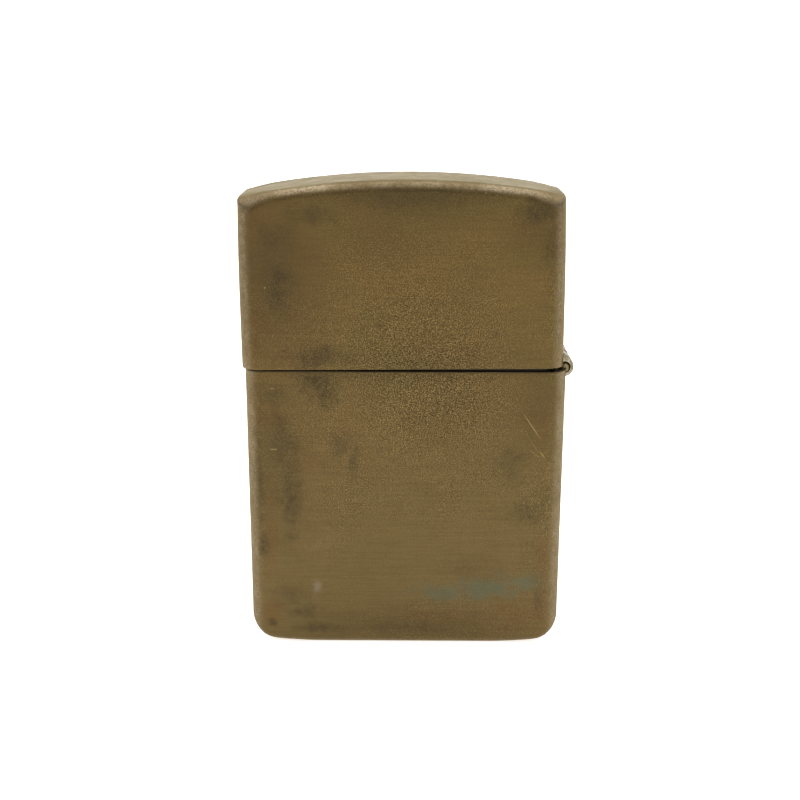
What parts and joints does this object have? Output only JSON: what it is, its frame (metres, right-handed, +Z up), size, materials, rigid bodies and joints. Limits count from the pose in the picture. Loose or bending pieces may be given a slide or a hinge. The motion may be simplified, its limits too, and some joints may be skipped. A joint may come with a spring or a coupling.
{
  "type": "flip-top pocket lighter",
  "caption": "Refillable windproof flip-top pocket lighter: hinged brass case round a steel fuel insert with windscreen, striker wheel, flint and wick.",
  "frame": {"origin": "centre of the flat middle of the base", "axes": "+Z up along the height, +X towards the hinge side, +Y from the front panel to the back panel"},
  "size_m": [0.0396, 0.0128, 0.0573],
  "materials": {
    "aged_brass": "aged, unlacquered, brushed",
    "hinge_metal": "worn nickel plate",
    "insert_steel": "brushed",
    "wheel_steel": "hardened, dark",
    "rivet_steel": "satin",
    "cam_steel": "tumbled",
    "spring_steel": "drawn",
    "clean_brass": "dull",
    "flint_stone": "matte",
    "wick_cord": "braided",
    "cotton": "loose fibre",
    "felt": "felted"
  },
  "bodies": {
    "case": {"case_body": "aged_brass", "case_hinge_leaf": "hinge_metal", "hinge_pin": "hinge_metal", "insert_body": "insert_steel", "insert_deck": "insert_steel", "windscreen": "insert_steel", "wheel_rivet": "rivet_steel", "flint_tube": "clean_brass", "flint_spring": "spring_steel", "flint_screw": "clean_brass", "cam_bracket": "insert_steel", "cam_rivet": "rivet_steel", "cam_spring": "spring_steel", "spring_rivet": "rivet_steel", "wick": "wick_cord", "cotton_wads": "cotton", "felt_pad": "felt"},
    "lid": {"lid_shell": "aged_brass", "lid_hinge_leaf": "hinge_metal"},
    "cam": {"lid_cam": "cam_steel"},
    "wheel": {"striker_wheel": "wheel_steel"},
    "flint_stack": {"flint": "flint_stone", "spring_tip": "clean_brass"}
  },
  "joints": [
    {"name": "lid_hinge", "type": "hinge", "parent": "case", "child": "lid", "pos_m": [0.01895, 0, 0.035], "axis": [0, 1, 0], "range_deg": [0, 120]},
    {"name": "cam_pivot", "type": "hinge", "parent": "case", "child": "cam", "pos_m": [0.0148, 0, 0.0334], "axis": [0, 1, 0], "range_deg": [-12, 0], "deforming": ["cam_spring"]},
    {"name": "wheel_spin", "type": "hinge", "parent": "case", "child": "wheel", "pos_m": [-0.0122, 0, 0.0482], "axis": [0, 1, 0], "continuous": true},
    {"name": "flint_slide", "type": "slide", "parent": "case", "child": "flint_stack", "axis": [0, 0, 1], "range_m": [-0.002, 0], "stiffness_N_per_m": 300, "deforming": ["flint_spring"]}
  ],
  "couplings": [
    {"joint": "cam_pivot", "follows": "lid_hinge", "ratio": -0.1}
  ]
}
